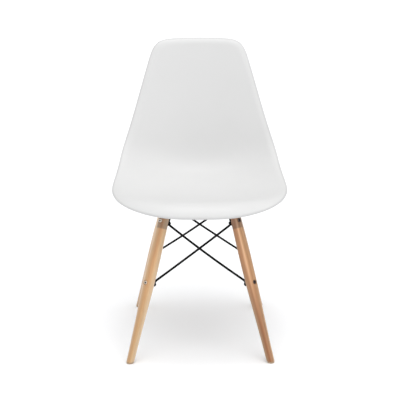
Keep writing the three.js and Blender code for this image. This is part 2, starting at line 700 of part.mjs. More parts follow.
// Two rods cross on each side of the chair. They bow outwards or inwards to pass one another.
const SIDES = {
  front: { legs: ["front_left", "front_right"], layer: 1, out: vec(0, -1, 0), bows: [3, -3] },
  rear: { legs: ["rear_left", "rear_right"], layer: 1, out: vec(0, 1, 0), bows: [3, -3] },
  left: { legs: ["rear_left", "front_left"], layer: 0, out: vec(-1, 0, 0), bows: [6, -2] },
  right: { legs: ["rear_right", "front_right"], layer: 0, out: vec(1, 0, 0), bows: [6, -2] },
};
for (const [side, { legs, layer: index, out, bows }] of Object.entries(SIDES)) {
  const [a, b] = legs.map((name) => corners.find((c) => c.name === name));
  const [outer, inner] = bows.map((bow) => vec(0, 0, -SAG).addScaledVector(out, bow));
  place(`brace_${side}_outer`, braceRod(a, b, index, outer), blackSteel);
  place(`brace_${side}_inner`, braceRod(b, a, index, inner), blackSteel);
}

export default chair;
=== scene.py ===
import math

import bmesh
import bpy
import numpy as np
from mathutils import Matrix, Vector


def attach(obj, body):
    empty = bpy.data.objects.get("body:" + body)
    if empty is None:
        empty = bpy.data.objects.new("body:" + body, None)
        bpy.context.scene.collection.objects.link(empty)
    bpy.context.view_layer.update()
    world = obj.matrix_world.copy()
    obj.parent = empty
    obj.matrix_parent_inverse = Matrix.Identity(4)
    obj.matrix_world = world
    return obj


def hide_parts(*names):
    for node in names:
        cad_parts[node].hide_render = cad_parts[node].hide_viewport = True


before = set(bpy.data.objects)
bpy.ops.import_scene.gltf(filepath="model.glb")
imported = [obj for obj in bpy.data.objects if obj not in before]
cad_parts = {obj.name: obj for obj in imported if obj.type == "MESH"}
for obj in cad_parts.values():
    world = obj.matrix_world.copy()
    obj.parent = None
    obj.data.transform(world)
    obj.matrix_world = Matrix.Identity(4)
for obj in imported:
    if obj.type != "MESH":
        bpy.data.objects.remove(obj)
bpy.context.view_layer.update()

# Dining chair. Metres, +Z up, the sitter faces -Y, the floor is at z = 0. Left is -X, as seen from in front.
MM = 0.001

# ------------------------------------------------------------------ dimensions, in mm

# These are the CAD source's own. Only the rods are thicker and bow a little more.
CENTRE_LINE = [  # y, z, rise at the full half width, lean in degrees
    (-269, 442, 3, -4), (-213, 438, 6, -4), (-158, 430, 12, -2), (-104, 422, 20, 0), (-50, 417, 29, 3),
    (4, 415, 40, 7), (58, 416, 53, 11), (110, 422, 67, 18), (155, 442, 78, 29), (182, 486, 68, 43),
    (195, 539, 55, 56), (207, 593, 46, 66), (219, 646, 40, 72), (231, 699, 36, 75), (243, 752, 33, 76),
    (256, 812, 31, 76), (269, 872, 29, 76),
]
FULL_HALF_WIDTH = 235
SHELL_SHIFT = 0.945
DISH_POWER = 2.3
OUTLINE = [  # half width, distance along the centre line
    (0, 0), (72, 0), (136, 18), (196, 60), (228, 125), (238, 198), (235, 270), (230, 335), (224, 405),
    (216, 475), (201, 545), (184, 615), (166, 685), (148, 750), (129, 814), (74, 822), (0, 823),
]
FRONT_CORNER, TOP_CORNER = 3.2, 14  # places in OUTLINE
SHELL_THICKNESS = 5
# Distance along the centre line, length of the rolled edge, and its turn in degrees.
EDGE_ROLL = [(0, 74, 86), (26, 62, 75), (70, 45, 60), (150, 26, 32), (700, 22, 34), (823, 26, 50)]
ROLL_ONSET = 1.4

STRAP_WIDTH, STRAP_THICKNESS, STRAP_TOP, STRAP_BEND = 26, 4, 378, 12
JOGGLE_INNER, JOGGLE_OUTER, JOGGLE_DROP = 17, 32, 4.3
BOSS_FROM_CENTRE, BOSS_RADIUS, BOSS_BOTTOM, BOSS_REACH = 90, 15, 384.3, 25
# A foot and a top bolt of the right legs, as x and y.
LEGS = {"front": ((187, -224), (98, -107)), "rear": ((186, 225), (94, 123))}
TOP_BOLT_Z, BOLT_SPACING, LEG_ABOVE_BOLT = 357, 169.4, 17
# Share of the leg's length from the floor, radius.
LEG_RADII = [(0, 10.2), (0.12, 10.8), (0.32, 12.9), (0.5, 15.2), (0.68, 16), (0.86, 15), (1, 14)]
TOP_FLAT, TOP_FLAT_BELOW, MID_FLAT, MID_FLAT_RADIUS = 8, 25, 13, 22
GLIDE_HEIGHT, GLIDE_RADIUS = 4.5, 9.2
FIT_GAP = 0.3
EYE_RADIUS, EYE_THICKNESS = 7, 2.6
ROD_RADIUS, ROD_LIFT = 3, 1.2
ROD_START = (13.6, 8.4)  # from the eye's middle, for the inner and the outer eye on a bolt
ROD_BEND = (3, 4)
SAG = 2
BOLT_RADIUS, HEAD_RADIUS, HEAD_HEIGHT, HEAD_SEAT = 3, 5.2, 3.2, 11
NUT_RADIUS, NUT_HEX, NUT_HEIGHT, NUT_DOME = 6.35, 4.8, 11.5, 5.2

# The shapes below are finer than the CAD source's, or not in it.
MERGE_DISTANCE = 1e-6  # metres
ACROSS, ALONG, ROLL_RINGS, LIP_STEPS = 96, 112, 16, 8  # mesh counts of the shell
LIP_BULGE = 0.7  # of half the shell's thickness
LIP_SHADE_WIDTH, LIP_SHADE_FADE, LIP_SHADE_POWER = 5.5, 3, 1.5
LEG_STATIONS, LEG_SMOOTHING, LEG_SEGMENTS = 60, 4, 96
LEG_OVERRUN, LEG_END_ROUND = 12, 2
HEAD_BORE, SHANK_BORE, PIN_BORE, PIN_DEPTH = 6.2, 3.4, 2.5, 17.8
# An eye's outline is a circle as far as EYE_END of its radius past the middle; then the neck begins.
EYE_STATIONS, EYE_END, EYE_ROUND, EYE_LEAST_WIDTH = 15, 0.88, 0.6, 0.3
NECK_HALF_WIDTH, NECK_ROUND, NECK_BEFORE, NECK_LENGTH = 3.3, 0.9, 1.2, 2.2
ROD_SPANS = 13
SOCKET_RADIUS, SOCKET_DEPTH, SOCKET_CHAMFER, SOCKET_CONE = 2.3, 2.6, 0.25, 0.4
BOLT_PAST_SEAT, SEAT_BOLT_LENGTH = 6.5, 20
NUT_HEIGHT_CHANGE = {"top": 1, "mid": -2.5}
BOSS_BORE, BOSS_BORE_DEPTH, BOSS_CHAMFER = 6.3, 14.6, 0.6
# Out from the boss, down from its top, rounding.
BOSS_FLARE = [(0, 9, 0), (1.2, 4, 3), (8, 1.4, 3), (9, 0, 0)]
RIBS, RIB_STATIONS, RIB_INSIDE, RIB_HALF_WIDTH, RIB_POWER, RIB_END_HEIGHT = 6, 8, 2, 1.3, 1.6, 3
SPACER_BORE, SPACER_RADIUS = 4, 14
RIVET_RADIUS, RIVET_HEAD_RADIUS, RIVET_TOP_RADIUS, RIVET_HEAD = 4, 8, 5, 2.4

# ------------------------------------------------------------------ small helpers

UP = np.array((0.0, 0.0, 1.0))


def unit(v):
    return v / np.linalg.norm(v)


def mesh_object(name, points, faces, material, smooth=True, sharp=35):
    """A mesh piece from points in mm."""
    mesh = bpy.data.meshes.new(name)
    in_metres = [tuple(float(c) * MM for c in p) for p in points]
    mesh.from_pydata(in_metres, [], [list(map(int, f)) for f in faces])
    mesh.validate()
    b = bmesh.new()
    b.from_mesh(mesh)
    bmesh.ops.remove_doubles(b, verts=b.verts, dist=MERGE_DISTANCE)
    bmesh.ops.recalc_face_normals(b, faces=b.faces)
    b.to_mesh(mesh)
    b.free()
    obj = bpy.data.objects.new(name, mesh)
    bpy.context.scene.collection.objects.link(obj)
    mesh.materials.append(material)
    if smooth:
        shade(obj, sharp)
    return obj


def shade(obj, sharp):
    for polygon in obj.data.polygons:
        polygon.use_smooth = True
    obj.data.set_sharp_from_angle(angle=math.radians(sharp))


def settle(obj):
    """Turns the modifiers into mesh."""
    graph = bpy.context.evaluated_depsgraph_get()
    baked = bpy.data.meshes.new_from_object(obj.evaluated_get(graph))
    obj.modifiers.clear()
    old = obj.data
    obj.data = baked
    bpy.data.meshes.remove(old)


def add_attribute(obj, name, kind, values):
    """Stores a value, or with FLOAT_VECTOR a vector, at each point."""
    attribute = obj.data.attributes.new(name, kind, "POINT")
    field = "vector" if kind == "FLOAT_VECTOR" else "value"
    attribute.data.foreach_set(field, np.asarray(values).astype(np.float32).ravel())


def finish_piece(obj, slot, *nodes):
    """Puts the piece on the root body and hides the CAD nodes that it stands for; the slot is not used."""
    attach(obj, "root")
    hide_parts(*nodes)
    return obj


def basis(origin, z, hint=None):
    """Rotation columns X, Y, Z and origin, with Z along a direction and X near a hint."""
    z = unit(np.asarray(z, float))
    if hint is None:
        hint = (1, 0, 0) if abs(z[2]) > 0.9 else (0, 0, 1)
    y = unit(np.cross(z, hint))
    return np.cross(y, z), y, z, np.asarray(origin, float)


def to_world(local, axes):
    x, y, z, o = axes
    local = np.asarray(local, float)
    return o + local[:, :1] * x + local[:, 1:2] * y + local[:, 2:3] * z


def band(previous, row):
    """Faces between two closed rows of point numbers."""
    count = len(row)
    return [(row[j], row[(j + 1) % count], previous[(j + 1) % count], previous[j]) for j in range(count)]


def tube_faces(rows, columns):
    faces = []
    for r in range(rows - 1):
        for c in range(columns):
            n = (c + 1) % columns
            faces.append((r * columns + c, r * columns + n, (r + 1) * columns + n, (r + 1) * columns + c))
    return faces


def revolve(profile, segments=64):
    """Points and faces of a closed solid of revolution about Z; profile rows are (radius, z)."""
    points, faces, rings = [], [], []
    for radius, z in profile:
        if radius < 1e-9:
            rings.append([len(points)])
            points.append((0, 0, z))
        else:
            rings.append(list(range(len(points), len(points) + segments)))
            for k in range(segments):
                a = 2 * math.pi * k / segments
                points.append((radius * math.cos(a), radius * math.sin(a), z))
    for lower, upper in zip(rings, rings[1:]):
        for k in range(segments):
            n = (k + 1) % segments
            quad = [
                lower[k % len(lower)], lower[n % len(lower)], upper[n % len(upper)], upper[k % len(upper)],
            ]
            faces.append(list(dict.fromkeys(quad)))
    return points, [f for f in faces if len(f) > 2]


def lathed(rows, tip):
    """Points and faces of rings of (radius, z); the first end is flat and the last one meets at z = tip."""
    segments = len(rows[0])
    points = []
    for row in rows:
        for k, (r, z) in enumerate(row):
            a = 2 * math.pi * k / segments
            points.append((r * math.cos(a), r * math.sin(a), z))
    faces = tube_faces(len(rows), segments)
    last = len(points) - segments
    faces.extend((last + k, last + (k + 1) % segments, len(points)) for k in range(segments))
    faces.append(tuple(range(segments))[::-1])
    points.append((0, 0, tip))
    return points, faces


def rounded(corners, steps=5):
    """A profile with rounded corners; corners are (r, z, rounding), and both ends stay sharp.

    A rounding takes up less than half of each side next to it.
    """
    out = []
    for i, corner in enumerate(corners):
        p = np.array(corner[:2], float)
        if i in (0, len(corners) - 1) or corner[2] == 0:
            out.append(tuple(p))
            continue
        a, b = np.array(corners[i - 1][:2], float) - p, np.array(corners[i + 1][:2], float) - p
        reach = min(corner[2], 0.45 * np.linalg.norm(a), 0.45 * np.linalg.norm(b))
        a, b = p + unit(a) * reach, p + unit(b) * reach
        for k in range(steps + 1):
            t = k / steps
            out.append(tuple((1 - t) ** 2 * a + 2 * t * (1 - t) * p + t * t * b))
    return out


def bspline(rows):
    """A cubic spline near the rows, as a function of a place counted in rows."""
    rows = np.array(rows, float)
    padded = np.vstack([2 * rows[0] - rows[1], rows, 2 * rows[-1] - rows[-2]])
    last = len(rows) - 1

    def at(t):
        t = np.atleast_1d(np.asarray(t, float))
        i = np.clip(np.floor(t).astype(int), 0, last - 1)
        f = (t - i)[:, None]
        weights = (
            (1 - f) ** 3, 3 * f ** 3 - 6 * f ** 2 + 4, -3 * f ** 3 + 3 * f ** 2 + 3 * f + 1, f ** 3,
        )
        return sum(w / 6 * padded[i + k] for k, w in enumerate(weights))

    return at


def lengths_along(points):
    return np.concatenate([[0], np.cumsum(np.linalg.norm(np.diff(points, axis=0), axis=1))])


def smoothing(reach):
    """Weights that add up to 1, for a running mean over this many values to each side."""
    weights = np.hanning(2 * reach + 1)
    return weights / weights.sum()


def evenly(curve, start, end, count):
    """Points of a curve, the same distance apart."""
    fine = np.linspace(start, end, 40 * count + 1)
    lengths = lengths_along(curve(fine))
    return curve(np.interp(np.linspace(0, lengths[-1], count + 1), lengths, fine))


# ------------------------------------------------------------------ materials

def new_material(name):
    material = bpy.data.materials.new(name)
    material.use_nodes = True
    tree = material.node_tree
    return material, tree, tree.nodes["Principled BSDF"]


def node(tree, kind, **settings):
    n = tree.nodes.new(kind)
    for key, value in settings.items():
        if key in n.inputs:
            n.inputs[key].default_value = value
        else:
            setattr(n, key, value)
    return n


def ramp(tree, stops):
    n = tree.nodes.new("ShaderNodeValToRGB")
    while len(n.color_ramp.elements) < len(stops):
        n.color_ramp.elements.new(0.5)
    for element, (position, colour) in zip(n.color_ramp.elements, stops):
        element.position = position
        element.color = (*colour, 1) if len(colour) == 3 else colour
    return n


def remapped(tree, value, start, end, low, high, **settings):
    """The value carried from start..end to low..high, and held beyond both ends."""
    n = node(tree, "ShaderNodeMapRange", **settings)
    for socket, number in (("From Min", start), ("From Max", end), ("To Min", low), ("To Max", high)):
        n.inputs[socket].default_value = number
    tree.links.new(value, n.inputs["Value"])
    return n.outputs["Result"]


def multiplied(tree, a, b):
    """The product of two colours."""
    product = node(tree, "ShaderNodeMix", data_type="RGBA", blend_type="MULTIPLY")
    product.inputs["Factor"].default_value = 1
    tree.links.new(a, product.inputs[6])
    tree.links.new(b, product.inputs[7])
    return product.outputs[2]


def plastic_material():
    material, tree, shader = new_material("shell_plastic_satin")
    shader.inputs["Roughness"].default_value = 0.42
    shader.inputs["Specular IOR Level"].default_value = 0.4
    coordinates = node(tree, "ShaderNodeTexCoord")
    fine = node(tree, "ShaderNodeTexNoise", Scale=900, Detail=3)
    tree.links.new(coordinates.outputs["Object"], fine.inputs["Vector"])
    bump = node(tree, "ShaderNodeBump", Strength=0.05, Distance=0.0004)
    tree.links.new(fine.outputs["Fac"], bump.inputs["Height"])
    tree.links.new(bump.outputs["Normal"], shader.inputs["Normal"])
    broad = node(tree, "ShaderNodeTexNoise", Scale=4, Detail=2)
    tree.links.new(coordinates.outputs["Object"], broad.inputs["Vector"])
    shades = ramp(tree, [(0.3, (0.652, 0.652, 0.65)), (0.7, (0.668, 0.668, 0.666))])
    tree.links.new(broad.outputs["Fac"], shades.inputs["Fac"])
    # Painted shade: a slightly darker line round the lip, where the rolled edge turns away from the light.
    edge = node(tree, "ShaderNodeAttribute", attribute_name="edge")
    painted_shade = ramp(tree, [(0, (1, 1, 1)), (1, (0.82, 0.82, 0.825))])
    tree.links.new(edge.outputs["Fac"], painted_shade.inputs["Fac"])
    base = multiplied(tree, shades.outputs["Color"], painted_shade.outputs["Color"])
    tree.links.new(base, shader.inputs["Base Color"])
    return material


def wood_material(name, upper, lower, seed, coat=1.0):
    """Stripes along the leg, from its left to its right side: partly the wood's grain colour, partly painted
    highlights and reflections of the round, lacquered leg; they change slowly from its upper to its lower
    end.

    The 'grain' attribute holds a point's place in the leg's own axes, and 'across' its place from side to
    side, from 0 to 1.
    """
    material, tree, shader = new_material(name)
    place = node(tree, "ShaderNodeAttribute", attribute_name="grain")
    across = node(tree, "ShaderNodeAttribute", attribute_name="across")
    stretch = node(tree, "ShaderNodeMapping")
    stretch.inputs["Location"].default_value = (seed, 2 * seed, 0)
    stretch.inputs["Scale"].default_value = (1, 1, 0.05)
    tree.links.new(place.outputs["Vector"], stretch.inputs["Vector"])
    figure = node(tree, "ShaderNodeTexNoise", Scale=95, Detail=5, Roughness=0.6)
    tree.links.new(stretch.outputs["Vector"], figure.inputs["Vector"])
    fibres = node(tree, "ShaderNodeTexNoise", Scale=620, Detail=3, Roughness=0.6)
    tree.links.new(stretch.outputs["Vector"], fibres.inputs["Vector"])
    # The stripes waver with the figure.
    waver = remapped(tree, figure.outputs["Fac"], 0.2, 0.8, -0.08, 0.08)
    position = node(tree, "ShaderNodeMath", operation="ADD")
    tree.links.new(across.outputs["Fac"], position.inputs[0])
    tree.links.new(waver, position.inputs[1])
    height = node(tree, "ShaderNodeSeparateXYZ")
    tree.links.new(place.outputs["Vector"], height.inputs["Vector"])
    share_up = remapped(
        tree, height.outputs["Z"], LOWER_WOOD_TO, UPPER_WOOD_FROM, 0, 1, interpolation_type="SMOOTHSTEP"
    )
    grain_and_highlight_stripes = [ramp(tree, stops) for stops in (lower, upper)]
    for band in grain_and_highlight_stripes:
        tree.links.new(position.outputs["Value"], band.inputs["Fac"])
    colour = node(tree, "ShaderNodeMix", data_type="RGBA")
    tree.links.new(share_up, colour.inputs["Factor"])
    tree.links.new(grain_and_highlight_stripes[0].outputs["Color"], colour.inputs[6])
    tree.links.new(grain_and_highlight_stripes[1].outputs["Color"], colour.inputs[7])
    mottle = node(tree, "ShaderNodeMix", data_type="FLOAT")
    mottle.inputs["Factor"].default_value = 0.35
    tree.links.new(figure.outputs["Fac"], mottle.inputs["A"])
    tree.links.new(fibres.outputs["Fac"], mottle.inputs["B"])
    mottling = ramp(tree, [(0.34, (0.84, 0.81, 0.78)), (0.5, (1, 1, 1)), (0.66, (1, 1, 1))])
    tree.links.new(mottle.outputs["Result"], mottling.inputs["Fac"])
    # Painted shade: the end under the seat is darker, from just below the top bolt upwards, where the seat's
    # shadow falls.
    end = remapped(
        tree, height.outputs["Z"], LEG_PAINTED_SHADE_FROM - LEG_PAINTED_SHADE_FADE, LEG_PAINTED_SHADE_FROM + LEG_PAINTED_SHADE_FADE, 0, 1
    )
    painted_shade = ramp(tree, [(0, (1, 1, 1)), (1, (0.56, 0.56, 0.62))])
    tree.links.new(end, painted_shade.inputs["Fac"])
    mottled = multiplied(tree, colour.outputs[2], mottling.outputs["Color"])
    tree.links.new(multiplied(tree, mottled, painted_shade.outputs["Color"]), shader.inputs["Base Color"])
    roughness = remapped(tree, fibres.outputs["Fac"], 0, 1, 0.36, 0.5)
    tree.links.new(roughness, shader.inputs["Roughness"])
    bump = node(tree, "ShaderNodeBump", Strength=0.12, Distance=0.0003)
    tree.links.new(fibres.outputs["Fac"], bump.inputs["Height"])
    tree.links.new(bump.outputs["Normal"], shader.inputs["Normal"])
    shader.inputs["Coat Weight"].default_value = coat
    shader.inputs["Coat Roughness"].default_value = 0.18
    return material


def metal_material(name, colour, metallic, roughness, bump_scale=700, bump_strength=0.06):
    material, tree, shader = new_material(name)
    coordinates = node(tree, "ShaderNodeTexCoord")
    grains = node(tree, "ShaderNodeTexNoise", Scale=bump_scale, Detail=3)
    tree.links.new(coordinates.outputs["Object"], grains.inputs["Vector"])
    darker, lighter = tuple(0.85 * c for c in colour), tuple(min(1, 1.15 * c) for c in colour)
    shades = ramp(tree, [(0.3, darker), (0.7, lighter)])
    tree.links.new(grains.outputs["Fac"], shades.inputs["Fac"])
    tree.links.new(shades.outputs["Color"], shader.inputs["Base Color"])
    shader.inputs["Metallic"].default_value = metallic
    rough = remapped(tree, grains.outputs["Fac"], 0, 1, roughness - 0.06, roughness + 0.06)
    tree.links.new(rough, shader.inputs["Roughness"])
    bump = node(tree, "ShaderNodeBump", Strength=bump_strength, Distance=0.0003)
    tree.links.new(grains.outputs["Fac"], bump.inputs["Height"])
    tree.links.new(bump.outputs["Normal"], shader.inputs["Normal"])
    return material


PLASTIC = plastic_material()
# Metres along the leg from the floor.
LOWER_WOOD_TO, UPPER_WOOD_FROM = 0.08, 0.34
# Where the painted shade of the seat's shadow starts on each leg, and how soft its edge is.
LEG_PAINTED_SHADE_FROM, LEG_PAINTED_SHADE_FADE = 0.3665, 0.0015
# Stripes from the leg's left to its right, for the upper and the lower end: the wood's grain colour with
# painted highlights and reflections.
PALE_UPPER = [
    (0, (0.69, 0.46, 0.25)), (0.2, (0.61, 0.37, 0.18)), (0.35, (0.60, 0.31, 0.13)),
    (0.5, (0.69, 0.36, 0.153)), (0.66, (0.76, 0.47, 0.23)), (0.8, (0.69, 0.46, 0.255)),
    (0.95, (0.64, 0.42, 0.225)),
]
PALE_LOWER = [
    (0, (0.56, 0.36, 0.20)), (0.2, (0.48, 0.29, 0.145)), (0.35, (0.49, 0.28, 0.123)),
    (0.5, (0.555, 0.33, 0.148)), (0.66, (0.58, 0.38, 0.195)), (0.8, (0.58, 0.41, 0.24)),
    (0.95, (0.68, 0.47, 0.27)),
]
# The bright stripe near the middle of the upper end is a painted highlight.
RUDDY_UPPER = [
    (0.05, (0.44, 0.21, 0.09)), (0.3, (0.53, 0.255, 0.12)), (0.49, (0.90, 0.55, 0.32)),
    (0.58, (0.66, 0.35, 0.165)), (0.66, (0.45, 0.225, 0.095)), (0.8, (0.58, 0.32, 0.145)),
    (0.93, (0.40, 0.20, 0.08)),
]
RUDDY_LOWER = [
    (0.05, (0.40, 0.24, 0.125)), (0.25, (0.30, 0.14, 0.062)), (0.42, (0.275, 0.108, 0.038)),
    (0.55, (0.345, 0.148, 0.06)), (0.65, (0.38, 0.185, 0.088)), (0.78, (0.32, 0.175, 0.088)),
    (0.93, (0.50, 0.30, 0.155)),
]
WOOD = {
    "front_left": wood_material("leg_wood_front_left", PALE_UPPER, PALE_LOWER, 0.7),
    "front_right": wood_material("leg_wood_front_right", RUDDY_UPPER, RUDDY_LOWER, 3.1, 0.3),
    "rear_left": wood_material("leg_wood_rear_left", PALE_UPPER, PALE_LOWER, 5.9),
    "rear_right": wood_material("leg_wood_rear_right", PALE_UPPER, RUDDY_LOWER, 8.3),
}
BLACK = metal_material("black_powder_coat", (0.003, 0.003, 0.0033), 0.0, 0.5)
BLACK.node_tree.nodes["Principled BSDF"].inputs["Specular IOR Level"].default_value = 0.1
ZINC = metal_material("zinc_plated_steel", (0.84, 0.77, 0.68), 1.0, 0.3, 300, 0.02)
# A dark copy of the zinc: painted shade for the front right leg's screws, which get less light.
ZINC_SHADED = metal_material("zinc_plated_steel_shaded", (0.13, 0.10, 0.09), 1.0, 0.32, 300, 0.02)
for steel in (ZINC, ZINC_SHADED):
    # Painted shade: the socket in a screw's head is darkened, as shade falls into the recess.
    tree = steel.node_tree
    socket_shade_mask = node(tree, "ShaderNodeAttribute", attribute_name="socket_shade_mask")
    painted_socket_shade = ramp(tree, [(0, (1, 1, 1)), (1, (0.16, 0.12, 0.09))])
    tree.links.new(socket_shade_mask.outputs["Fac"], painted_socket_shade.inputs["Fac"])
    base = tree.nodes["Principled BSDF"].inputs["Base Color"]
    plain = base.links[0].from_socket
    tree.links.new(multiplied(tree, plain, painted_socket_shade.outputs["Color"]), base)
BRASS = metal_material("insert_brass", (0.62, 0.44, 0.18), 1.0, 0.35)
RUBBER = metal_material("spacer_rubber", (0.02, 0.02, 0.02), 0.0, 0.75, 1500, 0.15)
NYLON = metal_material("glide_nylon", (0.40, 0.29, 0.19), 0.0, 0.5, 1500, 0.1)

# ------------------------------------------------------------------ seat shell

CENTRE = bspline(CENTRE_LINE)
LINE_PLACES = np.linspace(0, len(CENTRE_LINE) - 1, 601)
LINE_POINTS = CENTRE(LINE_PLACES)[:, :2]
LINE_LENGTHS = lengths_along(LINE_POINTS)


def distance_at(y):
    """How far along the centre line, from the front, the seat has this y."""
    return np.interp(y, LINE_POINTS[:, 0] + SHELL_SHIFT, LINE_LENGTHS)


def dish(u, s):
    """The seating surface before its edge is rolled; arrays of half widths and distances."""
    u, s = np.atleast_1d(np.asarray(u, float)), np.atleast_1d(np.asarray(s, float))
    y, z, rise, lean = CENTRE(np.interp(s, LINE_LENGTHS, LINE_PLACES)).T
    lift = rise * (np.abs(u) / FULL_HALF_WIDTH) ** DISH_POWER
    lean = np.radians(lean)
    return np.stack([u, y + SHELL_SHIFT - np.sin(lean) * lift, z + np.cos(lean) * lift], axis=1)


def dish_normal(u, s, step=1.5):
    u, s = np.atleast_1d(np.asarray(u, float)), np.atleast_1d(np.asarray(s, float))
    across = dish(u + step, s) - dish(u - step, s)
    forward = dish(u, s + step) - dish(u, np.maximum(0, s - step))
    normal = np.cross(across, forward)
    return normal / np.linalg.norm(normal, axis=1, keepdims=True)


def roll_size(s):
    """Length and turn of the rolled edge, eased between the rows."""
    rows = np.array(EDGE_ROLL, float)
    i = int(np.clip(np.searchsorted(rows[:, 0], s, "right") - 1, 0, len(rows) - 2))
    f = float(np.clip((s - rows[i, 0]) / (rows[i + 1, 0] - rows[i, 0]), 0, 1))
    return rows[i, 1:] * (1 - f) + rows[i + 1, 1:] * f


def outline_ring():
    """Points of the whole outline from its front left corner, and the directions along it."""
    curve = bspline(OUTLINE)
    front = evenly(curve, 0, FRONT_CORNER, ACROSS // 2)
    flank = evenly(curve, FRONT_CORNER, TOP_CORNER, ALONG)
    top = evenly(curve, TOP_CORNER, len(OUTLINE) - 1, ACROSS // 2)
    right = np.vstack([front, flank[1:], top[1:]])
    left = right[1:-1][::-1] * (-1, 1)
    ring = np.roll(np.vstack([right, left]), ACROSS // 2, axis=0)
    tangent = np.roll(ring, -1, axis=0) - np.roll(ring, 1, axis=0)
    return ring, tangent / np.linalg.norm(tangent, axis=1, keepdims=True)


def rolled_rings(ring, tangent):
    """Rings from where the roll starts out to the outline: their places on the dish and depths below it."""
    sizes = np.array([roll_size(s) for s in ring[:, 1]])
    # Smooth the sizes along the edge, so that the roll has no kinks.
    reach = 7
    weights = smoothing(reach)
    length, turn = [
        np.convolve(np.concatenate([size[-reach:], size, size[:reach]]), weights, "valid") for size in sizes.T
    ]
    small_steps = 8
    total = ROLL_RINGS * small_steps
    inside, depth = np.zeros(len(ring)), np.zeros(len(ring))
    insides, depths = [inside], [depth]
    for i in range(total):
        angle = np.radians(turn) * ((i + 0.5) / total) ** ROLL_ONSET
        inside = inside + np.cos(angle) * length / total
        depth = depth + np.sin(angle) * length / total
        if (i + 1) % small_steps == 0:
            insides.append(inside)
            depths.append(depth)
    inward = np.stack([-tangent[:, 1], tangent[:, 0]], axis=1)
    return [ring + inward * (inside - passed)[:, None] for passed in insides], depths


def coons_patch(inner, points):
    """A grid of point numbers that fills the innermost ring; the points inside it are added to the list."""
    count = len(inner)
    corners = [inner[0], inner[ACROSS], inner[ACROSS + ALONG], inner[2 * ACROSS + ALONG]]
    grid = np.zeros((ALONG + 1, ACROSS + 1), int)
    for r in range(ALONG + 1):
        for c in range(ACROSS + 1):
            front, right, top, left = c, ACROSS + r, 2 * ACROSS + ALONG - c, (count - r) % count
            if r == 0:
                grid[r, c] = front
            elif c == ACROSS:
                grid[r, c] = right
            elif r == ALONG:
                grid[r, c] = top
            elif c == 0:
                grid[r, c] = left
            else:
                x, y = c / ACROSS, r / ALONG
                place = (
                    (1 - y) * inner[front] + y * inner[top]
                    + (1 - x) * inner[left] + x * inner[right]
                    - (1 - x) * (1 - y) * corners[0] - x * (1 - y) * corners[1]
                    - x * y * corners[2] - (1 - x) * y * corners[3]
                )
                grid[r, c] = len(points)
                points.append(dish(place[0], place[1])[0])
    return grid


def point_normals(points, faces):
    triangles = np.array([t for f in faces for t in ((f[0], f[1], f[2]), (f[0], f[2], f[3]))])
    a, b, c = (points[triangles[:, k]] for k in range(3))
    cross = np.cross(b - a, c - a)
    normals = np.zeros_like(points)
    for k in range(3):
        np.add.at(normals, triangles[:, k], cross)
    return normals / np.linalg.norm(normals, axis=1, keepdims=True)


def shell_piece():
    ring, tangent = outline_ring()
    places, depths = rolled_rings(ring, tangent)
    count = len(ring)
    points, faces = [], []
    for place, depth in zip(places, depths):
        u, s = place.T
        points.extend(dish(u, s) - dish_normal(u, s) * depth[:, None])
    for k in range(ROLL_RINGS):
        inner = range(k * count, (k + 1) * count)
        faces.extend(band(inner, range((k + 1) * count, (k + 2) * count)))
    grid = coons_patch(places[0], points)
    for r in range(ALONG):
        for c in range(ACROSS):
            faces.append((grid[r, c], grid[r, c + 1], grid[r + 1, c + 1], grid[r + 1, c]))
    points = np.array(points)
    normals = point_normals(points, faces)

    # The same thickness everywhere, and an oval edge whose crest comes back out to the outline.
    half = SHELL_THICKNESS / 2
    bulge = LIP_BULGE * half
    rim = [ROLL_RINGS * count + j for j in range(count)]
    outward = np.array([points[i] - points[i - count] for i in rim])
    outward /= np.linalg.norm(outward, axis=1, keepdims=True)
    points[rim] -= outward * bulge
    lip = points[rim] - normals[rim] * half
    total = len(points)
    everything = [*points, *(points - normals * SHELL_THICKNESS)]
    every_face = [*faces, *[tuple(total + i for i in reversed(f)) for f in faces]]
    previous = rim
    for k in range(1, LIP_STEPS):
        angle = math.pi * k / LIP_STEPS
        row = [len(everything) + j for j in range(count)]
        everything.extend(lip + normals[rim] * half * math.cos(angle) + outward * bulge * math.sin(angle))
        every_face.extend(band(previous, row))
        previous = row
    every_face.extend(band(previous, [total + i for i in rim]))
    obj = mesh_object("shell", everything, every_face, PLASTIC, sharp=60)

    # How near each point is to the lip, for the painted shade along it: 1 close to it, 0 from LIP_SHADE_WIDTH
    # away.
    near = [np.min(np.linalg.norm(lip - np.array(v.co) / MM, axis=1)) for v in obj.data.vertices]
    edge = np.clip((LIP_SHADE_WIDTH - np.array(near)) / LIP_SHADE_FADE, 0, 1) ** LIP_SHADE_POWER
    add_attribute(obj, "edge", "FLOAT", edge)
    return obj


# ------------------------------------------------------------------ where everything stands

front_top, rear_top = LEGS["front"][1], LEGS["rear"][1]
share = front_top[0] / (front_top[0] + rear_top[0])
CROSSING = np.array((0, front_top[1] + (rear_top[1] - front_top[1]) * share, 0.0))


class Corner:
    """One leg and its boss: the bolts lie along `facing`, which is square to the leg and points inwards."""

    def __init__(self, end, side):
        sign = -1 if side == "left" else 1
        (fx, fy), (tx, ty) = LEGS[end]
        self.name = f"{end}_{side}"
        self.foot = np.array((sign * fx, fy, 0.0))
        self.bolt = np.array((sign * tx, ty, float(TOP_BOLT_Z)))
        self.axis = unit(self.bolt - self.foot)
        self.mid_bolt = self.bolt - self.axis * BOLT_SPACING
        self.inward = unit(CROSSING - self.bolt * (1, 1, 0))
        self.facing = unit(self.inward * self.axis[2] - UP * (self.inward @ self.axis))
        self.boss = CROSSING - self.inward * BOSS_FROM_CENTRE


CORNERS = {f"{end}_{side}": Corner(end, side) for end in ("front", "rear") for side in ("left", "right")}
TOP_SEAT = TOP_FLAT + FIT_GAP + STRAP_THICKNESS


def layer(seat, index):
    """How far along a bolt the middle of a rod's eye is; 0 is the inner eye and 1 the outer one."""
    return seat + FIT_GAP + EYE_THICKNESS / 2 + index * (EYE_THICKNESS + FIT_GAP)


# ------------------------------------------------------------------ legs

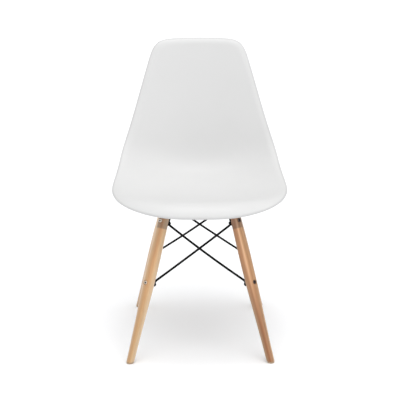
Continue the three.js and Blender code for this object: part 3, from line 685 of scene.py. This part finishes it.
def leg_solid(c, axes, stations, radii):
    """The turned leg before it is cut; it starts below the floor and its top is rounded."""
    profile = [(0, -LEG_OVERRUN), (radii[0], -LEG_OVERRUN), *zip(radii[:-1], stations[:-1])]
    round_steps = 5
    for k in range(round_steps + 1):
        a = math.pi / 2 * k / round_steps
        radius = radii[-1] - LEG_END_ROUND + LEG_END_ROUND * math.cos(a)
        profile.append((radius, stations[-1] - LEG_END_ROUND + LEG_END_ROUND * math.sin(a)))
    profile.append((0, stations[-1]))
    points, faces = revolve(profile, LEG_SEGMENTS)
    return mesh_object(f"leg_wood_{c.name}", to_world(points, axes), faces, WOOD[c.name], smooth=False)


def cut_leg(obj, c, axes):
    """Cuts the foot level, the flat and the spot face, the two bolt holes and the glide's hole."""
    cutters = []

    def cutter(points, faces):
        tool = mesh_object("cutter", points, faces, WOOD[c.name], smooth=False)
        cutters.append(tool)
        cut = obj.modifiers.new("cut", "BOOLEAN")
        cut.operation, cut.solver, cut.object = "DIFFERENCE", "EXACT", tool

    def block(size, centre, block_axes):
        corners = [(x, y, z) for x in (-0.5, 0.5) for y in (-0.5, 0.5) for z in (-0.5, 0.5)]
        sides = [(0, 1, 3, 2), (4, 6, 7, 5), (0, 4, 5, 1), (2, 3, 7, 6), (0, 2, 6, 4), (1, 5, 7, 3)]
        cutter(to_world(np.array(corners) * size + centre, block_axes), sides)

    def turned(profile, place_axes, segments):
        points, faces = revolve(profile, segments)
        cutter(to_world(points, place_axes), faces)

    # Every cutter reaches out past the leg.
    foot_width, foot_depth = 90, 60
    foot_centre = (0, 0, GLIDE_HEIGHT + FIT_GAP - foot_depth / 2)
    block((foot_width, foot_width, foot_depth), foot_centre, basis(c.foot, UP))
    flat_width, flat_depth = 60, 20
    flat_length = TOP_FLAT_BELOW + 2 * LEG_ABOVE_BOLT
    flat_centre = (LEG_ABOVE_BOLT - TOP_FLAT_BELOW / 2, 0, TOP_FLAT + flat_depth / 2)
    block((flat_length, flat_width, flat_depth), flat_centre, basis(c.bolt, c.facing, c.axis))
    out = 25
    spot = [(0, MID_FLAT), (MID_FLAT_RADIUS, MID_FLAT), (MID_FLAT_RADIUS, out), (0, out)]
    turned(spot, basis(c.mid_bolt, c.facing, c.axis), 64)
    head_end, shank_end = -40, 30
    hole = [
        (0, head_end), (HEAD_BORE, head_end), (HEAD_BORE, -HEAD_SEAT), (SHANK_BORE, -HEAD_SEAT),
        (SHANK_BORE, shank_end), (0, shank_end),
    ]
    for place in (c.bolt, c.mid_bolt):
        turned(hole, basis(place, c.facing), 40)
    turned([(0, -1), (PIN_BORE, -1), (PIN_BORE, PIN_DEPTH), (0, PIN_DEPTH)], axes, 24)
    settle(obj)
    for tool in cutters:
        mesh = tool.data
        bpy.data.objects.remove(tool)
        bpy.data.meshes.remove(mesh)


def leg_piece(c):
    length = np.linalg.norm(c.bolt - c.foot) + LEG_ABOVE_BOLT
    # A smooth turned profile through the CAD's radii.
    stations = np.linspace(0, length, LEG_STATIONS)
    shares, sizes = np.array(LEG_RADII).T
    padded = np.pad(np.interp(stations / length, shares, sizes), LEG_SMOOTHING, mode="edge")
    radii = np.convolve(padded, smoothing(LEG_SMOOTHING), "valid")
    axes = basis(c.foot, c.axis)
    obj = leg_solid(c, axes, stations, radii)
    cut_leg(obj, c, axes)
    bevel = obj.modifiers.new("edge", "BEVEL")
    bevel.width, bevel.segments = 0.4 * MM, 2
    bevel.limit_method, bevel.angle_limit = "ANGLE", math.radians(35)
    settle(obj)
    shade(obj, 40)
    x, y, z, o = axes
    places = np.array([v.co for v in obj.data.vertices]) - o * MM
    add_attribute(obj, "grain", "FLOAT_VECTOR", np.stack([places @ x, places @ y, places @ z], axis=1))
    radius = np.interp(places @ z, stations * MM, radii * MM)
    add_attribute(obj, "across", "FLOAT", 0.5 + 0.5 * (places @ x) / radius)
    return finish_piece(obj, "leg_wood", f"leg_{c.name}")


# ------------------------------------------------------------------ straps and rods

def ribbon(name, stations, material, corner_steps=4):
    """A loft of rounded rectangles.

    Each station is (centre, across, normal, half width, half thickness, roundness).
    """
    points, count = [], 4 * (corner_steps + 1)
    for centre, across, normal, half_width, half_thickness, roundness in stations:
        r = min(roundness, half_width, half_thickness)
        for quadrant, (sx, sy) in enumerate(((1, 1), (-1, 1), (-1, -1), (1, -1))):
            for k in range(corner_steps + 1):
                a = math.pi / 2 * (quadrant + k / corner_steps)
                x = sx * (half_width - r) + r * math.cos(a)
                y = sy * (half_thickness - r) + r * math.sin(a)
                points.append(centre + across * x + normal * y)
    faces = tube_faces(len(stations), count)
    faces.append(tuple(range(count))[::-1])
    faces.append(tuple((len(stations) - 1) * count + k for k in range(count)))
    return mesh_object(name, points, faces, material, sharp=50)


def strap_line(c, drop):
    """Centre line from the middle outwards, as (distance in plan, z)."""
    level = STRAP_TOP - STRAP_THICKNESS / 2
    tab = c.bolt + c.facing * (TOP_FLAT + FIT_GAP + STRAP_THICKNESS / 2)
    bolt = np.array((math.hypot(*(tab - CROSSING)[:2]), tab[2]))
    down = np.array((-c.facing[2], -math.hypot(*c.facing[:2])))
    bend = bolt + down * (level - bolt[1]) / down[1]
    turn = math.atan2(-down[1], down[0])
    tangent = STRAP_BEND * math.tan(turn / 2)
    arc = [
        (bend[0] - tangent + STRAP_BEND * math.sin(a), level - STRAP_BEND * (1 - math.cos(a)))
        for a in np.linspace(0, turn, 17)
    ]
    line = []
    if drop:
        for t in np.linspace(0, 1, 13):
            ease = t * t * (3 - 2 * t)
            line.append((JOGGLE_INNER + (JOGGLE_OUTER - JOGGLE_INNER) * t, level - drop * (1 - ease)))
    line.extend(arc)
    end = STRAP_WIDTH / 2
    straight = math.hypot(*(bolt - arc[-1]))
    line.extend(tuple(np.array(arc[-1]) + down * straight * t) for t in (0.5, 1))
    # Past the bolt the tab ends in a half circle.
    line.extend(tuple(bolt + down * end * math.sin(a)) for a in np.linspace(0, math.pi / 2, 14)[1:])
    return line, bolt, down


def strap_piece(name, c, opposite, drop, node_name):
    outward = -c.inward
    across = np.cross(outward, UP)
    rows = []
    for corner, sign in ((opposite, -1), (c, 1)):
        line, bolt, down = strap_line(corner, drop)
        part = []
        for r, z in line:
            past = (np.array((r, z)) - bolt) @ down
            half = STRAP_WIDTH / 2
            least_square = 0.3
            width = half if past <= 0 else math.sqrt(max(half * half - past * past, least_square))
            part.append((sign * r, z, width))
        rows.extend(part[::-1] if sign < 0 else part)
    rows = np.array(rows)
    stations = []
    edge_round = 0.7
    for i, (r, z, width) in enumerate(rows):
        a, b = rows[max(0, i - 1)], rows[min(len(rows) - 1, i + 1)]
        direction = unit(b[:2] - a[:2])
        centre = CROSSING + outward * r + UP * z
        normal = UP * direction[0] - outward * direction[1]
        stations.append((centre, across, normal, width, STRAP_THICKNESS / 2, edge_round))
    return finish_piece(ribbon(name, stations, BLACK), "black_steel", node_name)


def rod_end(eye, normal, other, index):
    """Stations from an eye to where the rod runs free: (centre, half width, half thickness, roundness)."""
    half_eye = EYE_THICKNESS / 2
    run = unit(other - eye)
    neck = unit(run - normal * (run @ normal))
    stations = []
    for a in np.linspace(-math.pi / 2, math.asin(EYE_END), EYE_STATIONS):
        width = max(EYE_RADIUS * math.cos(a), EYE_LEAST_WIDTH)
        stations.append((eye + neck * EYE_RADIUS * math.sin(a), width, half_eye, EYE_ROUND))
    start = ROD_START[index] - NECK_BEFORE
    stations.append((eye + neck * max(6.6, start - 2), NECK_HALF_WIDTH, half_eye, NECK_ROUND))
    for t in (0.33, 0.66, 1):
        centre = eye + neck * (start + NECK_LENGTH * t) + normal * ROD_LIFT * t
        width = NECK_HALF_WIDTH + (ROD_RADIUS - NECK_HALF_WIDTH) * t
        stations.append((centre, width, half_eye + (ROD_RADIUS - half_eye) * t, NECK_ROUND + 1.5 * t))
    bend = eye + normal * ROD_LIFT + neck * (ROD_START[index] + ROD_BEND[0])
    turned = bend + unit(neck + run) * ROD_BEND[1]
    stations.extend((centre, ROD_RADIUS, ROD_RADIUS, ROD_RADIUS) for centre in (bend, turned))
    return stations


def rod_piece(name, high, low, index, bow, node_name):
    """A rod from one leg's top bolt to the next leg's middle bolt."""
    ends = [
        (high.bolt + high.facing * layer(TOP_SEAT, index), high.facing),
        (low.mid_bolt + low.facing * layer(MID_FLAT, index), low.facing),
    ]
    upper, lower = (rod_end(*ends[i], ends[1 - i][0], index) for i in (0, 1))
    first, second = upper[-1][0], lower[-1][0]
    middle = [
        (first + (second - first) * t + bow * 4 * t * (1 - t), ROD_RADIUS, ROD_RADIUS, ROD_RADIUS)
        for t in np.linspace(0, 1, ROD_SPANS + 1)[1:-1]
    ]
    chain = [*upper, *middle, *lower[::-1]]
    centres = [row[0] for row in chain]
    last = len(chain) - 1
    stations = []
    for i, (centre, width, thickness, roundness) in enumerate(chain):
        tangent = unit(centres[min(i + 1, last)] - centres[max(i - 1, 0)])
        # The flat side faces along the bolts at both eyes and turns in between.
        t = np.clip((i - len(upper)) / len(middle), 0, 1)
        if i <= EYE_STATIONS:
            t = 0
        if i >= last - EYE_STATIONS:
            t = 1
        target = ends[0][1] * (1 - t) + ends[1][1] * t
        flat = unit(target - tangent * (target @ tangent))
        stations.append((centre, np.cross(tangent, flat), flat, width, thickness, roundness))
    return finish_piece(ribbon(name, stations, BLACK, 6), "black_steel", node_name)


# ------------------------------------------------------------------ fasteners

def hex_radius(angle, inner):
    """How far a hexagon's side is from its centre; inner is half the width across flats."""
    a = (angle + math.pi / 6) % (math.pi / 3) - math.pi / 6
    return inner / math.cos(a)


def bolt_piece(name, seat, outwards, length, node_name, steel):
    """A button head with a hexagon socket. Local Z runs out of the head."""
    segments = 48
    outer = rounded([
        (BOLT_RADIUS, -length, 0), (BOLT_RADIUS, 0, 0), (HEAD_RADIUS, 0, 0.3), (HEAD_RADIUS, 1.5, 0.8),
        (4.2, HEAD_HEIGHT, 0.8), (2.7, HEAD_HEIGHT, 0),
    ])
    rows = [[(r, z)] * segments for r, z in outer]
    floor_z = HEAD_HEIGHT - SOCKET_DEPTH
    for z in (HEAD_HEIGHT - SOCKET_CHAMFER, floor_z):
        rows.append([(hex_radius(2 * math.pi * k / segments, SOCKET_RADIUS), z) for k in range(segments)])
    points, faces = lathed(rows, floor_z - SOCKET_CONE)
    axes = basis(seat, outwards)
    obj = mesh_object(name, to_world(points, axes), faces, steel, sharp=40)
    # The socket's points are marked, so that painted shade can darken the recess.
    x, y, z, o = axes
    local = np.array([v.co for v in obj.data.vertices]) / MM - o
    out, up = np.hypot(local @ x, local @ y), local @ z
    inside = (out < BOLT_RADIUS) & (up > floor_z - 1) & (up < HEAD_HEIGHT - 0.1)
    add_attribute(obj, "socket_shade_mask", "FLOAT", inside)
    return finish_piece(obj, "zinc_steel", node_name)


def nut_piece(name, seat, outwards, nut_height, node_name):
    """A hexagon with chamfered corners and a domed cap."""
    segments = 72
    inner = NUT_RADIUS * math.cos(math.pi / 6)
    rows = []
    spans = ((0, 0.9, 5), (1.2, NUT_HEX - 1, 4), (NUT_HEX - 0.8, NUT_HEX, 6))
    for z in np.concatenate([np.linspace(*span) for span in spans]):
        limit = inner * 0.97 + 1.7 * min(z, NUT_HEX - z, 1.0)
        rows.append([(min(hex_radius(2 * math.pi * k / segments, inner), limit), z) for k in range(segments)])
    rows.append([(NUT_DOME + 0.15, NUT_HEX + 0.05)] * segments)
    dome_start = NUT_HEX + 0.3
    for a in np.linspace(0, math.pi / 2, 12)[:-1]:
        radius = NUT_DOME * math.cos(a) ** 0.8
        rows.append([(radius, dome_start + (nut_height - dome_start) * math.sin(a))] * segments)
    points, faces = lathed(rows, nut_height)
    obj = mesh_object(name, to_world(points, basis(seat, outwards)), faces, BLACK, sharp=28)
    return finish_piece(obj, "black_steel", node_name)


def turned_piece(name, profile, origin, direction, material, slot, node_name):
    points, faces = revolve(profile)
    obj = mesh_object(name, to_world(points, basis(origin, direction)), faces, material, sharp=40)
    return finish_piece(obj, slot, node_name)


# ------------------------------------------------------------------ bosses

def under_shell(points):
    """Points with nothing above the middle of the shell's thickness."""
    points = np.array(points, float)
    ceiling = dish(points[:, 0], distance_at(points[:, 1]))[:, 2] - SHELL_THICKNESS / 2
    points[:, 2] = np.minimum(points[:, 2], ceiling)
    return points


def boss_pieces(key, c):
    """A tapered cup with ribs that fade into the shell."""
    under = dish(c.boss[0], distance_at(c.boss[1]))[0][2] - SHELL_THICKNESS
    deep = under - BOSS_BOTTOM + SHELL_THICKNESS / 2
    flare = [(BOSS_RADIUS + out, deep - down, rounding) for out, down, rounding in BOSS_FLARE]
    outer = rounded([(BOSS_BORE, 0, 0), (BOSS_RADIUS - BOSS_CHAMFER, 0, 0.8), *flare], 6)
    profile = [(0, BOSS_BORE_DEPTH), (BOSS_BORE, BOSS_BORE_DEPTH), *outer, (0, deep)]
    points, faces = revolve(profile)
    origin = c.boss * (1, 1, 0) + UP * BOSS_BOTTOM
    boss = mesh_object(
        f"boss_{key}", under_shell(to_world(points, basis(origin, UP))), faces, PLASTIC, sharp=40
    )
    finish_piece(boss, "shell_plastic", "seat_shell")
    far_up = UP * 200
    inner = BOSS_RADIUS - RIB_INSIDE
    for i in range(RIBS):
        turn = 2 * math.pi / RIBS * i
        radial = np.array((math.cos(turn), math.sin(turn), 0))
        tangent = np.cross(UP, radial)
        stations = []
        for t in np.linspace(0, 1, RIB_STATIONS):
            place = origin + radial * (inner + (BOSS_REACH - inner) * t)
            ceiling = under_shell([place + far_up])[0][2] - origin[2]
            low = t ** RIB_POWER * (ceiling - RIB_END_HEIGHT)
            centre, half_height = place + UP * (low + ceiling) / 2, (ceiling - low) / 2
            stations.append((centre, tangent, UP, RIB_HALF_WIDTH, half_height, 0.6))
        rib = ribbon(f"boss_rib_{key}_{i}", stations, PLASTIC, 3)
        finish_piece(rib, "shell_plastic", "seat_shell")


# ------------------------------------------------------------------ make everything

finish_piece(shell_piece(), "shell_plastic", "seat_shell")

for key, c in CORNERS.items():
    leg_piece(c)
    boss_pieces(key, c)

    spacer_height = BOSS_BOTTOM - STRAP_TOP - 2 * FIT_GAP
    spacer = rounded([
        (SPACER_BORE, 0, 0), (SPACER_RADIUS, 0, 0.8), (SPACER_RADIUS, spacer_height, 0.8),
        (SPACER_BORE, spacer_height, 0), (SPACER_BORE, 0, 0),
    ])
    above_strap = c.boss * (1, 1, 0) + UP * (STRAP_TOP + FIT_GAP)
    turned_piece(
        f"spacer_{key}", spacer, above_strap, UP, RUBBER, "rubber_spacer", f"seat_spacer_{key}"
    )
    glide = rounded([
        (0, 0, 0), (GLIDE_RADIUS, 0, 1.0), (GLIDE_RADIUS, GLIDE_HEIGHT, 0.8), (0, GLIDE_HEIGHT, 0),
    ])
    turned_piece(f"glide_pad_{key}", glide, c.foot, UP, NYLON, "glide_plastic", f"glide_{key}")

    below_strap = c.boss * (1, 1, 0) + UP * (STRAP_TOP - STRAP_THICKNESS - FIT_GAP)
    bolt_piece(f"seat_screw_{key}", below_strap, -UP, SEAT_BOLT_LENGTH, f"seat_bolt_{key}", ZINC)
    # Painted shade: the front right leg's screws take the dark, shaded copy of the zinc.
    steel = ZINC_SHADED if key == "front_right" else ZINC
    for level, place, clamped in (("top", c.bolt, TOP_SEAT), ("mid", c.mid_bolt, MID_FLAT)):
        nut_seat = layer(clamped, 1) + EYE_THICKNESS / 2 + FIT_GAP
        head = place - c.facing * (HEAD_SEAT + FIT_GAP)
        length = HEAD_SEAT + nut_seat + BOLT_PAST_SEAT
        bolt_piece(f"{level}_screw_{key}", head, -c.facing, length, f"{level}_bolt_{key}", steel)
        nut_height = NUT_HEIGHT + NUT_HEIGHT_CHANGE[level]
        nut_place = place + c.facing * nut_seat
        nut_piece(f"{level}_cap_nut_{key}", nut_place, c.facing, nut_height, f"{level}_nut_{key}")
    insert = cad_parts[f"seat_insert_{key}"]
    insert.data.materials.clear()
    insert.data.materials.append(BRASS)

strap_piece("upper_strap", CORNERS["front_left"], CORNERS["rear_right"], 0, "strap_upper")
strap_piece("lower_strap", CORNERS["front_right"], CORNERS["rear_left"], JOGGLE_DROP, "strap_lower")
bottom, top = STRAP_TOP - STRAP_THICKNESS - JOGGLE_DROP - FIT_GAP, STRAP_TOP + FIT_GAP
rivet = rounded([
    (0, bottom - RIVET_HEAD, 0), (RIVET_TOP_RADIUS, bottom - RIVET_HEAD, 2), (RIVET_HEAD_RADIUS, bottom, 1),
    (RIVET_RADIUS, bottom, 0), (RIVET_RADIUS, top, 0), (RIVET_HEAD_RADIUS, top, 1),
    (RIVET_TOP_RADIUS, top + RIVET_HEAD, 2), (0, top + RIVET_HEAD, 0),
])
turned_piece("centre_rivet", rivet, CROSSING * (1, 1, 0), UP, ZINC, "zinc_steel", "strap_rivet")

SIDES = {  # two corners, inner or outer eyes, outward direction, bows of the outer and the inner rod
    "front": ("front_left", "front_right", 1, (0, -1, 0), (3.4, -3.4)),
    "rear": ("rear_left", "rear_right", 1, (0, 1, 0), (3.4, -3.4)),
    "left": ("rear_left", "front_left", 0, (-1, 0, 0), (6.2, -2.2)),
    "right": ("rear_right", "front_right", 0, (1, 0, 0), (6.2, -2.2)),
}
for side, (a, b, index, out, bows) in SIDES.items():
    outer, inner = (np.array(out, float) * bow - UP * SAG for bow in bows)
    rod_piece(f"rod_{side}_outer", CORNERS[a], CORNERS[b], index, outer, f"brace_{side}_outer")
    rod_piece(f"rod_{side}_inner", CORNERS[b], CORNERS[a], index, inner, f"brace_{side}_inner")

# ------------------------------------------------------------------ floor, light, camera

floor_material, tree, shader = new_material("floor_white")
shader.inputs["Base Color"].default_value = (0.952, 0.958, 0.967, 1)
shader.inputs["Roughness"].default_value = 0.9
shader.inputs["Specular IOR Level"].default_value = 0.0
mesh = bpy.data.meshes.new("floor")
reach = 60  # metres
corners = [(-reach, -reach, 0), (reach, -reach, 0), (reach, reach, 0), (-reach, reach, 0)]
mesh.from_pydata(corners, [], [(0, 1, 2, 3)])
floor = bpy.data.objects.new("floor", mesh)
mesh.materials.append(floor_material)
bpy.context.scene.collection.objects.link(floor)

scene = bpy.context.scene
scene.view_settings.view_transform = "Standard"
world = bpy.data.worlds.new("studio")
scene.world = world
world.use_nodes = True
background = world.node_tree.nodes["Background"]
background.inputs["Color"].default_value = (1, 1, 1, 1)
background.inputs["Strength"].default_value = 0.6
SUNS = [  # direction the light comes from, strength, angular size in degrees
    ((0, 0, 1), 0.44, 60),
    ((0, 0, 1), 0.215, 16),
    ((0, -0.35, 1), 0.53, 45),
    ((0, -0.6, 1), 0.15, 24),
    ((1, -1, 1.2), 0.445, 40),
    ((-1, -1, 1.2), 0.22, 40),
    ((1, 0.1, 0.6), 0.355, 40),
    ((-1, 0.1, 0.6), 0.17, 40),
    ((0.25, -1, 0.25), 0.115, 30),
]
for direction, strength, angle in SUNS:
    light = bpy.data.lights.new("soft_light", "SUN")
    light.energy, light.angle = strength, math.radians(angle)
    obj = bpy.data.objects.new("soft_light", light)
    scene.collection.objects.link(obj)
    obj.rotation_mode = "QUATERNION"
    obj.rotation_quaternion = (-Vector(direction)).to_track_quat("-Z", "Y")

# The camera stands in front of the chair, a little above it, and looks slightly down.
camera = bpy.data.cameras.new("camera")
camera.sensor_width = 36
camera.lens = 88.542
rig = bpy.data.objects.new("camera", camera)
scene.collection.objects.link(rig)
place = Vector((-0.01535, -2.66523, 1.0201))
yaw, pitch, roll = -0.36, 90 - 13.287, -0.15  # degrees
rig.matrix_world = (
    Matrix.Translation(place)
    @ Matrix.Rotation(math.radians(yaw), 4, "Z")
    @ Matrix.Rotation(math.radians(pitch), 4, "X")
    @ Matrix.Rotation(math.radians(roll), 4, "Z")
)
scene.camera = rig
